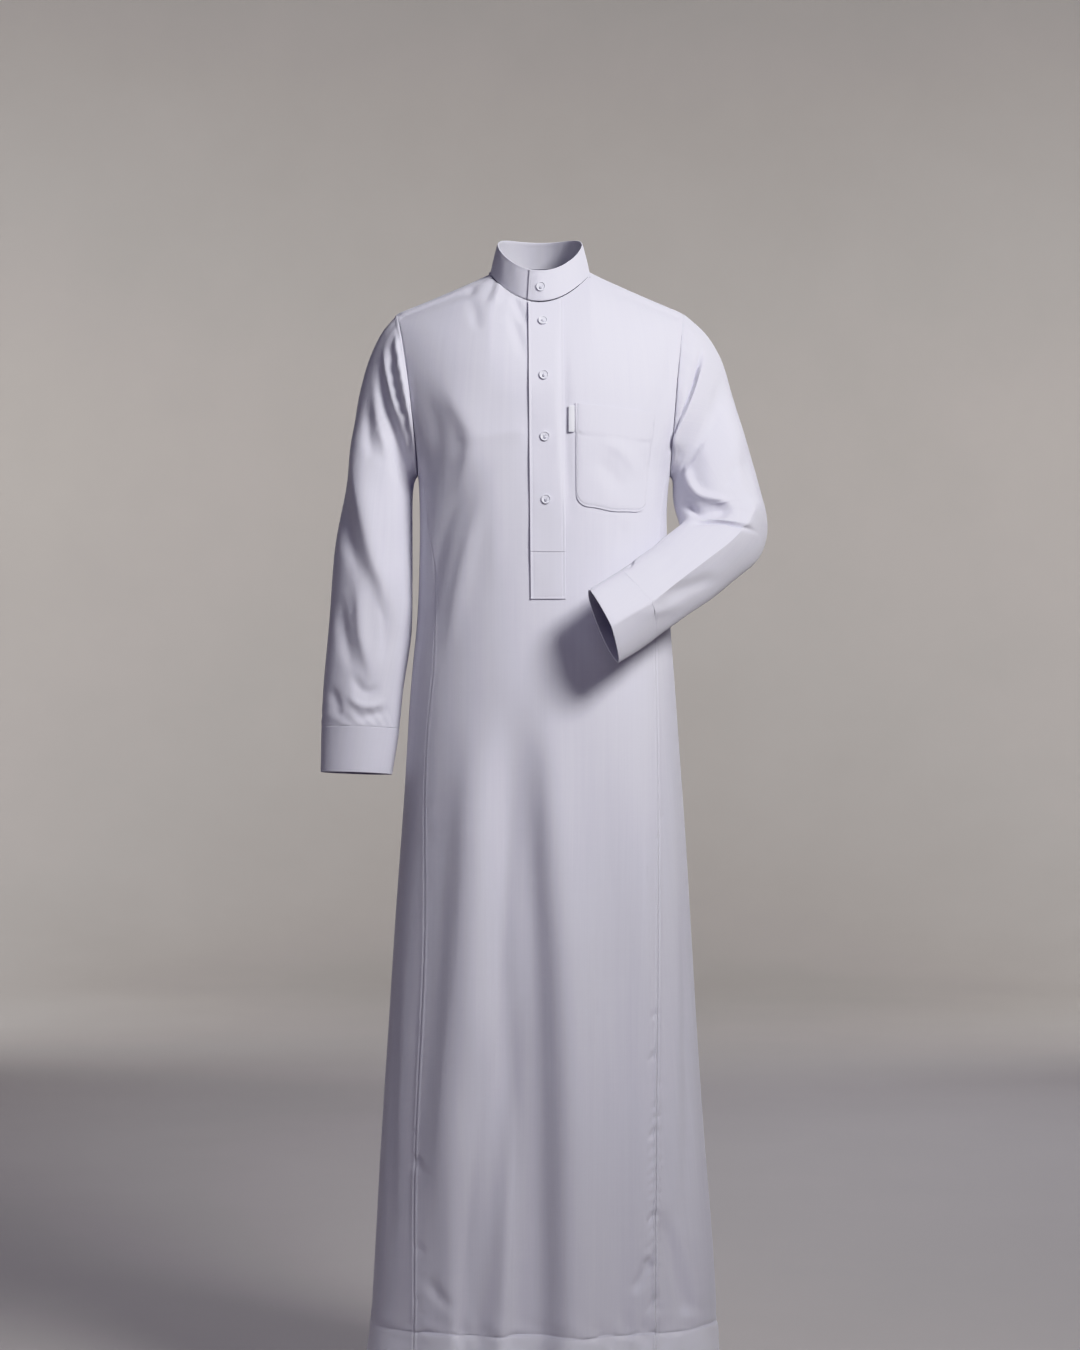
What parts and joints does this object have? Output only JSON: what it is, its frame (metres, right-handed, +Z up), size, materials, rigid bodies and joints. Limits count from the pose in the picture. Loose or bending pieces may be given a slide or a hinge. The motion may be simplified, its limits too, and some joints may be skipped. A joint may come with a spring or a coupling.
{
  "type": "thobe robe",
  "caption": "Ankle-length white robe in its worn form, with stand collar, buttoned placket, breast pocket, long cuffed sleeves and flared side gores.",
  "frame": {"origin": "middle of the neck base, on the line of the shoulders where the wearer holds the robe up", "axes": "+Z up along the robe's length, the wearer faces -Y, +X towards the side with the pocket and the bent sleeve"},
  "size_m": [0.6249, 0.3814, 1.5758],
  "materials": {
    "cloth": "smooth pressed plain weave with a soft sheen",
    "button": "satin",
    "label": "matte ribbon"
  },
  "bodies": {
    "root": {"front": "cloth", "back": "cloth", "yoke": "cloth", "side_gore_left": "cloth", "side_gore_right": "cloth", "sleeve_hanging": "cloth", "sleeve_bent": "cloth", "cuff_hanging": "cloth", "cuff_bent": "cloth", "collar": "cloth", "placket_band": "cloth", "placket_box": "cloth", "pocket": "cloth", "label_tab": "label", "button_collar": "button", "button_placket_1": "button", "button_placket_2": "button", "button_placket_3": "button", "button_placket_4": "button"}
  },
  "joints": []
}
